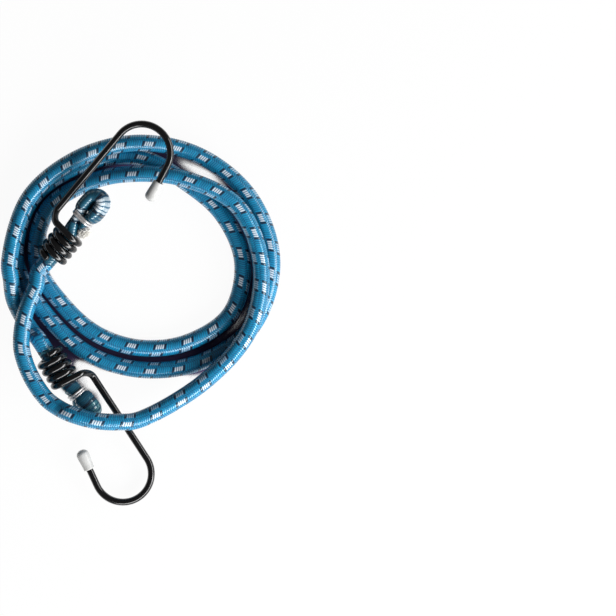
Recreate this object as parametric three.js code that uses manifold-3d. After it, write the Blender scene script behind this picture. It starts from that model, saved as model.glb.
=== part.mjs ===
// A bungee cord lying in a loose coil of three turns, in millimetres, +Z up.
// A rubber core in a braided sheath runs from hook to hook. At each end the cord passes through
// the winding of a coated wire hook, folds back on itself and is held by a wound wire ring.
// +Y points to the end whose hook lies on top of the coil. The origin is on the table below it.
import * as THREE from "three";
import { mergeVertices } from "three/addons/utils/BufferGeometryUtils.js";
import Module from "manifold-3d";

const wasm = await Module();
wasm.setup();

// Cord
const CORD_DIAMETER = 8;
const SHEATH_WALL = 1.1;
const CLEARANCE = 0.3;
const CORD_SIDES = 10;
const CORE_SIDES = 8;
const CORD_STEP = 10;
const END_STEP = 2;
const FLAT_DEPTH = CORD_DIAMETER / 10;
const LYING_HEIGHT = CORD_DIAMETER / 2 - FLAT_DEPTH;

// Hook wire
const WIRE_DIAMETER = 3.3;
const WIRE_SIDES = 8;
const WINDING_TURNS = 4;
const TURN_STEPS = 12;
const TURN_GAP = 0.45;
const EXIT_STATION = 6.2;
const EXIT_BEND_RADIUS = 5;
const DROP_START = 0.45;
const SHANK_OFFSET = 12;
const BEND_STATION = 57.6;
const BEND_RADIUS = 13.4;
const POINT_LENGTH = 18.4;

// Plastic tip on the free end of the wire
const TIP_DIAMETER = 6;
const TIP_MOUTH_DIAMETER = 5.1;
const TIP_LENGTH = 10;
const TIP_BORE_DEPTH = 7.6;
const TIP_SEGMENTS = 12;

// Folded end of the cord and its wire ring
const NECK_DIAMETER = 4.2;
const NECK_BREADTH = 1.8;
const FOLD_DIAMETER = 6.4;
const FOLD_BREADTH = 1.35;
const FOLD_STEPS = 8;
const CUT_DIAMETER = 4.6;
const CUT_TURN = 65;
const CUT_BEND_RADIUS = 2.5;
const CUT_STEPS = 3;
const FRAY_DIAMETER = 4.8;
const FRAY_LENGTH = 2.6;
const FOLD_STATION = 25.2;
const LEG_GAP = 0.5;
const RING_STATION = 16;
const RING_WIRE = 1.1;
const RING_TURNS = 2;
const RING_REACH = 2.6;
const RING_STEPS = 28;
const RING_SIDES = 6;
const RING_GAP = 0.45;

// Where the two end fittings lie: place in mm, turns in degrees
const FITTING_A = { place: [-37.0, 32.5, 15.2], heading: 49.6, rise: 9.5, hookRoll: 0, mouth: 12, foldRoll: -10 };
const FITTING_B = { place: [-39.0, -26.8, 8.25], heading: -57, rise: -3.5, hookRoll: 0, mouth: -8.5, foldRoll: 75 };

// The coil: distance from its middle and lift off the table at each twelfth of a turn
const COIL_CENTRE = [-0.7, 24];
const COIL_START = -90;
const COIL_STEP = 30;
const COIL_LAY = [
  [74.0, 10.5], [63.6, 7.0], [60.5, 8.8], [56.8, 7.4], [52.7, 8.2], [44.6, 9.0],
  [41.5, 6.6], [44.2, 0.6], [50.2, 0], [48.9, 0], [41.5, 0], [39.7, 0],
  [40.5, 0], [43.9, 0], [48.9, 0], [48.2, 0], [44.7, 0], [43.2, 0],
  [49.3, 0], [53.4, 0], [59.2, 0], [58.4, 0], [50.7, 0], [49.6, 0],
  [50.7, 0], [54.8, 0], [60.9, 0], [62.2, 0], [60.1, 0], [57.4, 1.5],
  [56.0, 5.8], [56.7, 8.0], [60.0, 8.7], [61.2, 8.7],
];
// The two stretches between the coil and the fittings: x, y and lift off the table
const STRETCH_A = [
  [-49.4, 12.7, 9.5], [-52.0, 6.6, 9.5], [-54.1, 0.5, 10.2], [-55.8, -8.0, 10.6],
  [-56.0, -16.5, 10.5], [-53.9, -24.5, 10.0],
];
const LEAD_IN = [
  [-50.1, -32.5, 9.8], [-44.2, -40.5, 10.0], [-38.4, -44.7, 11.0], [-32.7, -47.3, 13.7],
  [-21.4, -50.4, 14.5], [-10.1, -51.1, 12.8],
];
const STRETCH_B = [
  [-61.1, 15.5, 7.7], [-60.0, 6.6, 4.6], [-56.2, -1.9, 1.6], [-51.1, -9.4, 2.6],
];
const STRAIGHT_RUN = 6;

const radians = THREE.MathUtils.degToRad;
const boreDiameter = CORD_DIAMETER + 2 * CLEARANCE;
const windingRadius = (boreDiameter + WIRE_DIAMETER) / 2;
const windingPitch = WIRE_DIAMETER + TURN_GAP;
const windingRear = EXIT_STATION - WINDING_TURNS * windingPitch - WIRE_DIAMETER / 2;
const endRear = windingRear - 2 * CLEARANCE;

// Colours and finish
const finish = (color, roughness, metalness) => new THREE.MeshStandardMaterial({ color, roughness, metalness });
const braid = () => finish(0x1a7fbe, 0.75, 0);
const rubber = () => finish(0xe8e2d2, 0.8, 0);
const coatedWire = () => finish(0x101011, 0.25, 0.1);
const tipPlastic = () => finish(0xeeeeec, 0.45, 0);
const platedSteel = () => finish(0xb9bcc0, 0.3, 1);

// Directions across a line of points, carried along it without twist
function carriedFrames(points) {
  const last = points.length - 1;
  const tangents = points.map((_, i) =>
    points[Math.min(i + 1, last)].clone().sub(points[Math.max(i - 1, 0)]).normalize());
  const lead = Math.abs(tangents[0].z) < 0.9 ? new THREE.Vector3(0, 0, 1) : new THREE.Vector3(1, 0, 0);
  const across = [lead.clone().addScaledVector(tangents[0], -lead.dot(tangents[0])).normalize()];
  for (let i = 1; i <= last; i++) {
    const turn = new THREE.Quaternion().setFromUnitVectors(tangents[i - 1], tangents[i]);
    across.push(across[i - 1].clone().applyQuaternion(turn).normalize());
  }
  return points.map((point, i) => ({
    point,
    tangent: tangents[i],
    across: across[i],
    up: new THREE.Vector3().crossVectors(tangents[i], across[i]),
  }));
}

// A tube along points with a radius for each, closed by flat ends, and hollow where bores are given
function tube(points, radii, sides, bores = null) {
  const frames = carriedFrames(points);
  const last = frames.length - 1;
  const position = [];
  const index = [];
  const ring = (frame, radius) => {
    const first = position.length / 3;
    for (let j = 0; j < sides; j++) {
      const angle = (2 * Math.PI * (j + 0.5)) / sides;
      position.push(...frame.point.clone()
        .addScaledVector(frame.across, radius * Math.cos(angle))
        .addScaledVector(frame.up, radius * Math.sin(angle)).toArray());
    }
    return first;
  };
  const quad = (a, b, c, d) => index.push(a, b, d, b, c, d);
  const wall = (rings, outward) => {
    for (let i = 0; i < last; i++) {
      for (let j = 0; j < sides; j++) {
        const k = (j + 1) % sides;
        if (outward) quad(rings[i] + j, rings[i] + k, rings[i + 1] + k, rings[i + 1] + j);
        else quad(rings[i] + k, rings[i] + j, rings[i + 1] + j, rings[i + 1] + k);
      }
    }
  };
  const outer = frames.map((frame, i) => ring(frame, radii[i]));
  wall(outer, true);
  if (bores) {
    const inner = frames.map((frame, i) => ring(frame, bores[i]));
    wall(inner, false);
    for (let j = 0; j < sides; j++) {
      const k = (j + 1) % sides;
      quad(inner[0] + j, inner[0] + k, outer[0] + k, outer[0] + j);
      quad(outer[last] + j, outer[last] + k, inner[last] + k, inner[last] + j);
    }
  } else {
    for (const [end, way] of [[0, -1], [last, 1]]) {
      const middle = position.length / 3;
      position.push(...frames[end].point.toArray());
      for (let j = 0; j < sides; j++) {
        const k = (j + 1) % sides;
        if (way > 0) index.push(middle, outer[end] + j, outer[end] + k);
        else index.push(middle, outer[end] + k, outer[end] + j);
      }
    }
  }
  const geometry = new THREE.BufferGeometry();
  geometry.setAttribute("position", new THREE.Float32BufferAttribute(position, 3));
  geometry.setIndex(index);
  geometry.computeVertexNormals();
  return geometry;
}

// Least gap of a tube to itself, between stretches further apart along it than two diameters
function leastGap(points, radii) {
  const along = [0];
  for (let i = 1; i < points.length; i++) along.push(along[i - 1] + points[i].distanceTo(points[i - 1]));
  let least = Infinity;
  for (let i = 0; i < points.length; i++) {
    for (let j = 0; j < i; j++) {
      if (along[i] - along[j] < 4 * Math.max(radii[i], radii[j])) continue;
      least = Math.min(least, points[i].distanceTo(points[j]) - radii[i] - radii[j]);
    }
  }
  return least;
}

function printGap(name, points, radii) {
  console.log(`${name}: least gap to itself ${leastGap(points, radii).toFixed(2)} mm`);
}

// A geometry as a solid for cutting, and back
function solidOf(geometry) {
  const bare = geometry.clone();
  bare.deleteAttribute("normal");
  bare.deleteAttribute("uv");
  const merged = mergeVertices(bare, 1e-4);
  return new wasm.Manifold(new wasm.Mesh({
    numProp: 3,
    vertProperties: new Float32Array(merged.attributes.position.array),
    triVerts: new Uint32Array(merged.index.array),
  }));
}

function geometryOf(solid) {
  const { vertProperties, triVerts } = solid.getMesh();
  const geometry = new THREE.BufferGeometry();
  geometry.setAttribute("position", new THREE.BufferAttribute(vertProperties, 3));
  geometry.setIndex(new THREE.BufferAttribute(triVerts, 1));
  geometry.computeVertexNormals();
  return geometry;
}

// The part of a geometry above the table
function restedOnTable(geometry) {
  const reach = 400;
  const below = new THREE.BoxGeometry(reach, reach, reach).translate(0, 0, -reach / 2);
  return geometryOf(solidOf(geometry).subtract(solidOf(below)));
}

function piece(name, geometry, material) {
  const mesh = new THREE.Mesh(geometry, material);
  mesh.name = name;
  return mesh;
}

// A fitting's own frame: x along the winding's axis towards the hook, y to the left, z up
function fittingGroup({ place, heading, rise }) {
  const group = new THREE.Group();
  group.position.set(...place);
  group.rotation.set(0, radians(-rise), radians(heading), "ZYX");
  group.updateMatrixWorld(true);
  return group;
}

// Line of the hook's wire in the fitting's frame: winding, way out, shank, bend and straight point
function hookLine(mouth) {
  const points = [];
  const windingSteps = WINDING_TURNS * TURN_STEPS;
  for (let i = 0; i <= windingSteps; i++) {
    const angle = 2 * Math.PI * (i / TURN_STEPS - WINDING_TURNS);
    const station = EXIT_STATION + (windingPitch * angle) / (2 * Math.PI);
    points.push(new THREE.Vector3(station, windingRadius * Math.sin(angle), windingRadius * Math.cos(angle)));
  }
  const sideRun = SHANK_OFFSET - EXIT_BEND_RADIUS;
  const wayOut = new THREE.CurvePath();
  const lean = windingPitch / (2 * Math.PI * windingRadius);
  const bendStart = new THREE.Vector2(EXIT_STATION + lean * sideRun, sideRun);
  const bendEnd = new THREE.Vector2(bendStart.x + EXIT_BEND_RADIUS, SHANK_OFFSET);
  const shankEnd = new THREE.Vector2(BEND_STATION, SHANK_OFFSET);
  wayOut.add(new THREE.LineCurve(new THREE.Vector2(EXIT_STATION, 0), bendStart));
  wayOut.add(new THREE.EllipseCurve(bendEnd.x, bendStart.y, EXIT_BEND_RADIUS, EXIT_BEND_RADIUS,
    Math.PI, Math.PI / 2, true));
  const outSteps = 10;
  const outPoints = wayOut.getSpacedPoints(outSteps);
  for (let i = 1; i <= outSteps; i++) {
    const drop = THREE.MathUtils.smoothstep(i / outSteps, DROP_START, 1);
    points.push(new THREE.Vector3(outPoints[i].x, outPoints[i].y, windingRadius * (1 - drop)));
  }
  const shankSteps = 3;
  for (let i = 1; i <= shankSteps; i++) {
    const at = bendEnd.clone().lerp(shankEnd, i / shankSteps);
    points.push(new THREE.Vector3(at.x, at.y, 0));
  }
  const sweep = Math.PI - radians(mouth);
  const bendSteps = 14;
  const bendCentre = SHANK_OFFSET - BEND_RADIUS;
  for (let i = 1; i <= bendSteps; i++) {
    const angle = Math.PI / 2 - (sweep * i) / bendSteps;
    points.push(new THREE.Vector3(
      BEND_STATION + BEND_RADIUS * Math.cos(angle), bendCentre + BEND_RADIUS * Math.sin(angle), 0));
  }
  const back = new THREE.Vector3(-Math.cos(radians(mouth)), -Math.sin(radians(mouth)), 0);
  const bendExit = points[points.length - 1];
  const wireEnd = bendExit.clone().addScaledVector(back, POINT_LENGTH - TIP_LENGTH + TIP_BORE_DEPTH - CLEARANCE);
  const tipMouth = bendExit.clone().addScaledVector(back, POINT_LENGTH - TIP_LENGTH);
  points.push(wireEnd);
  return { points, back, tipMouth };
}

// Plastic cap that flares to a round end, with a blind bore for the wire
function tipGeometry() {
  const radius = TIP_DIAMETER / 2;
  const bore = WIRE_DIAMETER / 2 + CLEARANCE;
  const profile = [new THREE.Vector2(0, TIP_BORE_DEPTH), new THREE.Vector2(bore, TIP_BORE_DEPTH)];
  const mouthRadius = TIP_MOUTH_DIAMETER / 2;
  profile.push(new THREE.Vector2(bore, 0), new THREE.Vector2(mouthRadius - CLEARANCE, 0));
  profile.push(new THREE.Vector2(mouthRadius, CLEARANCE));
  const domeSteps = 4;
  const domeHeight = TIP_LENGTH - TIP_BORE_DEPTH;
  for (let i = 0; i < domeSteps; i++) {
    const angle = (Math.PI / 2) * (i / domeSteps);
    profile.push(new THREE.Vector2(radius * Math.cos(angle), TIP_BORE_DEPTH + domeHeight * Math.sin(angle)));
  }
  profile.push(new THREE.Vector2(0, TIP_LENGTH));
  return new THREE.LatheGeometry(profile, TIP_SEGMENTS);
}

// Wire hook with its tip, turned about the winding's axis
function hook(letter, { hookRoll, mouth }) {
  const group = new THREE.Group();
  group.rotation.x = radians(hookRoll);
  const { points, back, tipMouth } = hookLine(mouth);
  const radii = points.map(() => WIRE_DIAMETER / 2);
  printGap(`hook_${letter}`, points, radii);
  group.add(piece(`hook_${letter}`, tube(points, radii, WIRE_SIDES), coatedWire()));
  const tip = piece(`tip_${letter}`, tipGeometry(), tipPlastic());
  tip.quaternion.setFromUnitVectors(new THREE.Vector3(0, 1, 0), back);
  tip.position.copy(tipMouth);
  group.add(tip);
  return group;
}

// Line of the folded cord end: station, offset across the fold and diameter
function foldLine() {
  const legs = (NECK_DIAMETER + LEG_GAP) / 2;
  const fold = (FOLD_DIAMETER + LEG_GAP) / 2;
  const ringFront = RING_STATION + RING_REACH;
  const ringBack = RING_STATION - RING_REACH;
  const taperStart = EXIT_STATION - WIRE_DIAMETER / 2;
  const line = [
    [endRear, 0, CORD_DIAMETER],
    [endRear / 2, 0, CORD_DIAMETER],
    [taperStart, 0, CORD_DIAMETER],
    [(taperStart + ringBack) / 2, 0.75 * legs, (CORD_DIAMETER + 3 * NECK_DIAMETER) / 4],
    [ringBack, legs, NECK_DIAMETER],
    [ringFront, legs, NECK_DIAMETER],
  ];
  for (let i = 0; i <= FOLD_STEPS; i++) {
    const angle = Math.PI / 2 - (Math.PI * i) / FOLD_STEPS;
    line.push([FOLD_STATION + fold * Math.cos(angle), fold * Math.sin(angle), FOLD_DIAMETER]);
  }
  line.push(
    [ringFront, -legs, NECK_DIAMETER],
    [ringBack, -legs, NECK_DIAMETER],
  );
  for (let i = 1; i <= CUT_STEPS; i++) {
    const turn = radians((CUT_TURN * i) / CUT_STEPS);
    const diameter = NECK_DIAMETER + ((CUT_DIAMETER - NECK_DIAMETER) * i) / CUT_STEPS;
    line.push([
      ringBack - CUT_BEND_RADIUS * Math.sin(turn), -legs - CUT_BEND_RADIUS * (1 - Math.cos(turn)), diameter]);
  }
  return line;
}

// Breadth of the squeezed cord square to the fold, as a share of its diameter along the fold
function breadth(station) {
  const squeezed = THREE.MathUtils.smoothstep(
    station, EXIT_STATION - WIRE_DIAMETER / 2, RING_STATION - RING_REACH);
  const eased = THREE.MathUtils.smoothstep(station, RING_STATION + RING_REACH, FOLD_STATION);
  return 1 + (NECK_BREADTH - 1) * squeezed - (NECK_BREADTH - FOLD_BREADTH) * eased;
}

// A geometry of the fold, broadened square to it
function broadened(geometry) {
  const position = geometry.attributes.position;
  for (let i = 0; i < position.count; i++) position.setZ(i, position.getZ(i) * breadth(position.getX(i)));
  geometry.computeVertexNormals();
  return geometry;
}

// Sheath and core of a folded cord end
function cordEnd(letter, { foldRoll }) {
  const group = new THREE.Group();
  group.rotation.x = radians(foldRoll);
  const line = foldLine();
  const points = line.map(([station, offset]) => new THREE.Vector3(station, offset, 0));
  const radii = line.map(([, , diameter]) => diameter / 2);
  printGap(`end_${letter}_sheath`, points, radii);
  const bores = radii.map((radius) => radius - SHEATH_WALL);
  group.add(piece(`end_${letter}_sheath`, broadened(tube(points, radii, CORD_SIDES, bores)), braid()));
  const last = points.length - 1;
  const outward = points[last].clone().sub(points[last - 1]).normalize();
  const corePoints = [...points, points[last].clone().addScaledVector(outward, CLEARANCE)];
  corePoints.push(points[last].clone().addScaledVector(outward, FRAY_LENGTH));
  const coreRadii = [...bores, bores[last]].map((bore) => bore - CLEARANCE);
  coreRadii.push(FRAY_DIAMETER / 2);
  group.add(piece(`end_${letter}_core`, broadened(tube(corePoints, coreRadii, CORE_SIDES)), rubber()));
  group.add(piece(`ring_${letter}`, ringGeometry(letter), platedSteel()));
  return group;
}

// Wire ring wound twice round both legs of the fold
function ringGeometry(letter) {
  const halfRun = (NECK_DIAMETER + LEG_GAP) / 2;
  const bend = NECK_DIAMETER / 2 + CLEARANCE + RING_WIRE / 2;
  const around = 4 * halfRun + 2 * Math.PI * bend;
  const pitch = RING_WIRE + RING_GAP;
  const rise = ((NECK_DIAMETER / 2) * NECK_BREADTH + CLEARANCE + RING_WIRE / 2) / bend;
  const points = [];
  for (let i = 0; i <= RING_TURNS * RING_STEPS; i++) {
    const turn = i / RING_STEPS;
    const station = RING_STATION + pitch * (turn - RING_TURNS / 2);
    const [across, height] = stadiumPoint((turn % 1) * around, halfRun, bend);
    points.push(new THREE.Vector3(station, across, rise * height));
  }
  const radii = points.map(() => RING_WIRE / 2);
  printGap(`ring_${letter}`, points, radii);
  return tube(points, radii, RING_SIDES);
}

// Place on an outline of two straight runs and two half circles, by the way walked along it
function stadiumPoint(walked, halfRun, bend) {
  const arc = Math.PI * bend;
  if (walked < halfRun) return [-walked, -bend];
  if (walked < halfRun + arc) {
    const angle = -Math.PI / 2 - (walked - halfRun) / bend;
    return [-halfRun + bend * Math.cos(angle), bend * Math.sin(angle)];
  }
  if (walked < 3 * halfRun + arc) return [walked - arc - 2 * halfRun, bend];
  if (walked < 3 * halfRun + 2 * arc) {
    const angle = Math.PI / 2 - (walked - arc - 3 * halfRun) / bend;
    return [halfRun + bend * Math.cos(angle), bend * Math.sin(angle)];
  }
  return [4 * halfRun + 2 * arc - walked, -bend];
}

// Line of the cord from fitting A round the coil to fitting B
function cordCurve(fittingA, fittingB) {
  const fromAxis = (group, station) => group.localToWorld(new THREE.Vector3(station, 0, 0));
  const lifted = ([x, y, lift]) => new THREE.Vector3(x, y, LYING_HEIGHT + lift);
  const coil = COIL_LAY.map(([distance, lift], i) => {
    const angle = radians(COIL_START + COIL_STEP * i);
    return lifted([
      COIL_CENTRE[0] + distance * Math.cos(angle), COIL_CENTRE[1] + distance * Math.sin(angle), lift]);
  });
  const seat = endRear - CLEARANCE;
  const points = [
    fromAxis(fittingA, seat), fromAxis(fittingA, seat - STRAIGHT_RUN),
    ...STRETCH_A.map(lifted), ...LEAD_IN.map(lifted), ...coil, ...STRETCH_B.map(lifted),
    fromAxis(fittingB, seat - STRAIGHT_RUN), fromAxis(fittingB, seat),
  ];
  const curve = new THREE.CatmullRomCurve3(points);
  curve.arcLengthDivisions = 3000;
  return { curve, stretchEnd: lifted(STRETCH_A[STRETCH_A.length - 1]) };
}

// Sheath and core of one stretch of the cord, from one share of its length to another
function cordStretch(name, curve, from, to) {
  const steps = Math.ceil((curve.getLength() * (to - from)) / CORD_STEP);
  const square = END_STEP / curve.getLength();
  const shares = [from, from + square];
  for (let i = 1; i < steps; i++) shares.push(from + ((to - from) * i) / steps);
  shares.push(to - square, to);
  const points = shares.map((share) => curve.getPointAt(share));
  const radii = points.map(() => CORD_DIAMETER / 2);
  const bores = radii.map((radius) => radius - SHEATH_WALL);
  const cores = bores.map((bore) => bore - CLEARANCE);
  const sheath = restedOnTable(tube(points, radii, CORD_SIDES, bores));
  return [
    piece(`${name}_sheath`, sheath, braid()),
    piece(`${name}_core`, tube(points, cores, CORE_SIDES), rubber()),
  ];
}

const part = new THREE.Group();
part.name = "bungee_cord";
const fittings = { a: FITTING_A, b: FITTING_B };
const groups = {};
for (const [letter, fitting] of Object.entries(fittings)) {
  const group = fittingGroup(fitting);
  group.add(hook(letter, fitting), cordEnd(letter, fitting));
  part.add(group);
  groups[letter] = group;
}

const { curve, stretchEnd } = cordCurve(groups.a, groups.b);
const length = curve.getLength();
const fine = curve.getSpacedPoints(Math.ceil(length / 2));
printGap("cord", fine, fine.map(() => CORD_DIAMETER / 2));
let split = 0;
for (let i = 0; i < fine.length; i++) {
  if (fine[i].distanceTo(stretchEnd) < fine[split].distanceTo(stretchEnd)) split = i;
}
const cut = split / (fine.length - 1);
const halfGap = CLEARANCE / 2 / length;
part.add(...cordStretch("stretch_a", curve, 0, cut - halfGap));
part.add(...cordStretch("cord", curve, cut + halfGap, 1));
console.log(`cord between the fittings ${length.toFixed(0)} mm`);

export default part;
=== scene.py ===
# %% [markdown]
# # A bungee cord, coiled on a table
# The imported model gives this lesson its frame: plain solids in metres, with +Z up and the table at
# zero height. Each cell below dresses one part of the real object: the braided cord, its folded and
# frayed ends, the wire rings, the coated hooks and their plastic tips.

import bpy
import numpy as np
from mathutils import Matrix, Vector


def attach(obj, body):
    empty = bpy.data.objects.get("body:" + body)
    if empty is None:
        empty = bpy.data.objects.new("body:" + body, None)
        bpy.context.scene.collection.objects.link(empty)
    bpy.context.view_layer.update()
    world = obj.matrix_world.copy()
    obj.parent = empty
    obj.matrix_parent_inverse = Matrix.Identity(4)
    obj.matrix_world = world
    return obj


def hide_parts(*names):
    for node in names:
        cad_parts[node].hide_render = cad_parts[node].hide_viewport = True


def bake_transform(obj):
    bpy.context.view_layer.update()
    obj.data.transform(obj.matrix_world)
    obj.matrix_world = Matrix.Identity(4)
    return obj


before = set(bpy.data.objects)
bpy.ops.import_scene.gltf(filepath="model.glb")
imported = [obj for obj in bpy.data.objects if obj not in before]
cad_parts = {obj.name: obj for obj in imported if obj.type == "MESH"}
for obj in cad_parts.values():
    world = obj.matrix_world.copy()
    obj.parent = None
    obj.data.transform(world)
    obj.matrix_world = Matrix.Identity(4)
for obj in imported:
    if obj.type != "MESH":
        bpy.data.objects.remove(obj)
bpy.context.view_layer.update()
MM = 0.001

# %% [markdown]
# ## Camera
# The photograph looks straight down, so a Blender camera that isn't turned already points the right
# way. A long lens from two metres up keeps strands near the edge from leaning outwards. The lens
# follows from the size of one pixel on the cord, which is known from the cord's diameter.

# %% Camera
PHOTO_PIXELS = 616
PIXEL = 0.4706 * MM
VIEW_MIDDLE = (78.4 * MM, 2.35 * MM)
CAMERA_HEIGHT = 2.0
TRUE_HEIGHT = 8 * MM
SENSOR = 36.0

camera_data = bpy.data.cameras.new("camera")
camera_data.sensor_width = SENSOR
camera_data.lens = SENSOR * (CAMERA_HEIGHT - TRUE_HEIGHT) / (PHOTO_PIXELS * PIXEL)
camera = bpy.data.objects.new("camera", camera_data)
camera.location = (*VIEW_MIDDLE, CAMERA_HEIGHT)
scene = bpy.context.scene
scene.collection.objects.link(camera)
scene.camera = camera
scene.view_settings.view_transform = "Standard"
print(f"lens {camera_data.lens:.0f} mm, frame {PHOTO_PIXELS * PIXEL * 1000:.0f} mm wide")

# %% [markdown]
# ## Writing materials as sums
# Node trees are quicker to read as formulas. One small class holds a socket: its operators add Math
# nodes, and its one method `node` adds any other node, with settings first and sockets after.


# %% A socket that Python can calculate with
class Tone:
    """A socket of a node tree. Operators on it add Math nodes, and node() adds any other node."""

    def __init__(self, tree, socket=None):
        self.tree = tree
        self.socket = socket

    def node(self, kind, settings=(), sockets=(), output=0):
        made = self.tree.nodes.new(kind)
        for name, value in dict(settings).items():
            if name == "stops":
                ramp = made.color_ramp.elements
                while len(ramp) < len(value):
                    ramp.new(1.0)
                for stop, (place, colour) in zip(ramp, value):
                    stop.position, stop.color = place, colour
            else:
                setattr(made, name, value)
        for key, value in dict(sockets).items():
            if isinstance(value, Tone):
                self.tree.links.new(value.socket, made.inputs[key])
            else:
                made.inputs[key].default_value = value
        return Tone(self.tree, made.outputs[output])

    def out(self, output):
        """Another output of the same node."""
        return Tone(self.tree, self.socket.node.outputs[output])

    def maths(self, operation, *values):
        return self.node("ShaderNodeMath", {"operation": operation}, enumerate(values))

    def __add__(self, other):
        return self.maths("ADD", self, other)

    def __radd__(self, other):
        return self.maths("ADD", other, self)

    def __sub__(self, other):
        return self.maths("SUBTRACT", self, other)

    def __rsub__(self, other):
        return self.maths("SUBTRACT", other, self)

    def __mul__(self, other):
        return self.maths("MULTIPLY", self, other)

    def __rmul__(self, other):
        return self.maths("MULTIPLY", other, self)

    def __pow__(self, other):
        return self.maths("POWER", self, other)

    def __abs__(self):
        return self.maths("ABSOLUTE", self)

    def __mod__(self, other):
        return self.maths("FLOORED_MODULO", self, other)

    def __lt__(self, other):
        return self.maths("LESS_THAN", self, other)

    def __gt__(self, other):
        return self.maths("GREATER_THAN", self, other)

    def mix(self, low, high):
        """Colour between low and high, by this value as the share of high."""
        return self.node("ShaderNodeMix", {"data_type": "RGBA"}, {0: self, 6: low, 7: high}, 2)


def new_finish(name):
    """A material with one Principled shader: its name, a Tone to start from, and the shader node."""
    material = bpy.data.materials.new(name)
    material.use_nodes = True
    shader = material.node_tree.nodes["Principled BSDF"]
    return material, Tone(material.node_tree), shader


def feed(tone, shader, sockets):
    """Set or link the shader's named sockets."""
    for key, value in sockets.items():
        if isinstance(value, Tone):
            tone.tree.links.new(value.socket, shader.inputs[key])
        else:
            shader.inputs[key].default_value = value


# %% [markdown]
# ## Table and light
# The cord lies on a white sweep. A long lamp stands beyond the picture's lower edge and a smaller one
# beyond its right edge, so the lower and right sides of each strand are bright and the others dark. To
# the camera and in gloss the open table is mostly plain white. Where narrow gaps between strands see
# little of the sky, painted shade takes over: the table's colour turns a dark purple-blue and its white
# glow fades. To every other ray the table is a pale surface that bounces light as paper does.

# %% Table
TABLE_REACH = 20.0
TABLE_DROP = 0.1 * MM
WHITE_SHARE = 0.95
# The second colour is painted shade, a dark purple-blue for the table in narrow gaps between strands.
PALE, GAP_PAINTED_SHADE = (0.9, 0.9, 0.9, 1), (0.055, 0.038, 0.11, 1)
PAPER_ROUGHNESS = 0.9
GAP_REACH, GAP_SAMPLES = 10 * MM, 48
SHADED_SKY, OPEN_SKY = 0.43, 0.49

table_mesh = bpy.data.meshes.new("table")
# The table reaches further to the right, which keeps its diagonal out of the picture
corners = np.array([[-1, -1], [3, -1], [3, 1], [-1, 1]]) * TABLE_REACH
table_mesh.from_pydata(np.c_[corners, np.full(4, -TABLE_DROP)].tolist(), [], [(0, 1, 2, 3)])
table = bpy.data.objects.new("table", table_mesh)
scene.collection.objects.link(table)

paper, tone, shader = new_finish("table_white")


def direct_sight(tone):
    """One for rays that show the background: to the camera, in a gloss or through glass."""
    ray = tone.node("ShaderNodeLightPath")
    seen = ray.maths("MAXIMUM", ray.out("Is Camera Ray"), ray.out("Is Glossy Ray"))
    return seen.maths("MAXIMUM", seen, ray.out("Is Transmission Ray"))


near = tone.node("ShaderNodeAmbientOcclusion", {"samples": GAP_SAMPLES}, {"Distance": GAP_REACH}, "AO")
open_sky = tone.node("ShaderNodeMapRange", {"interpolation_type": "SMOOTHSTEP"}, {
    0: near, 1: SHADED_SKY, 2: OPEN_SKY})
# In narrow gaps the table's colour is mixed towards the painted shade, and below its white glow fades too.
feed(tone, shader, {"Base Color": open_sky.mix(GAP_PAINTED_SHADE, PALE), "Roughness": PAPER_ROUGHNESS})
seen = direct_sight(tone)
glow = tone.node("ShaderNodeEmission", (), {"Color": (1, 1, 1, 1), "Strength": 1.0})
lit = Tone(tone.tree, shader.outputs[0])
shown = tone.node("ShaderNodeMixShader", (), {0: seen * open_sky * WHITE_SHARE, 1: lit, 2: glow})
output = tone.tree.nodes["Material Output"]
tone.tree.links.new(shown.socket, output.inputs["Surface"])
table_mesh.materials.append(paper)
print("table", *np.ptp(corners, axis=0), "m across")

# %% Lights
LIGHTS = {
    "key": {"at": (0.4, -0.6, 0.72), "size": (0.3, 0.3), "watts": 2.0, "in_gloss": False},
    "strip": {"at": (0.52, -0.8, 0.53), "size": (1.8, 0.38), "watts": 18.5, "in_gloss": True},
    "side": {"at": (0.95, 0.0, 0.55), "size": (1.0, 0.3), "watts": 7.5, "in_gloss": True},
}
LIGHT_AIM = np.array([0.0, 0.0, 0.01])
WORLD_LEVEL = 0.075


def area_light(name, at, size, watts, in_gloss):
    """A flat lamp, so wide and so high, that faces the cord and isn't itself seen. Only a lamp in the
    gloss shows as a highlight."""
    data = bpy.data.lights.new(name, "AREA")
    data.shape, data.energy = "RECTANGLE", watts
    data.size, data.size_y = size
    lamp = bpy.data.objects.new(name, data)
    lamp.location = at
    way = Vector(LIGHT_AIM - np.array(at))
    lamp.rotation_euler = way.to_track_quat("-Z", "Y").to_euler()
    lamp.visible_camera = False
    lamp.visible_glossy = in_gloss
    scene.collection.objects.link(lamp)


for name, setting in LIGHTS.items():
    area_light(name, **setting)

world = bpy.data.worlds.new("studio")
world.use_nodes = True
scene.world = world
room = world.node_tree.nodes["Background"]
room.inputs["Color"].default_value = (1, 1, 1, 1)
room.inputs["Strength"].default_value = WORLD_LEVEL
print("lights:", ", ".join(LIGHTS))

# %% [markdown]
# ## The cord's route
# The cord runs from end A over the coil's left side, round three turns and back to end B. The route is
# the one that the solids follow: a few chosen points near the ends, and a distance and a lift at each
# twelfth of a turn round the coil. A smooth curve through them keeps every bend gentle.

# %% Route points, in millimetres
CORD_DIAMETER = 8.0
LYING_HEIGHT = 3.2
WIRE = 3.3
TURNS = 4
TURN_PITCH = 3.75
EXIT_STATION = 6.2
CLEARANCE = 0.3
WINDING_RADIUS = (CORD_DIAMETER + 2 * CLEARANCE + WIRE) / 2
END_REAR = EXIT_STATION - TURNS * TURN_PITCH - WIRE / 2 - 2 * CLEARANCE
SEAT = END_REAR - CLEARANCE
STRAIGHT_RUN = 6.0
ROUTE_STEPS = 80

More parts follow.
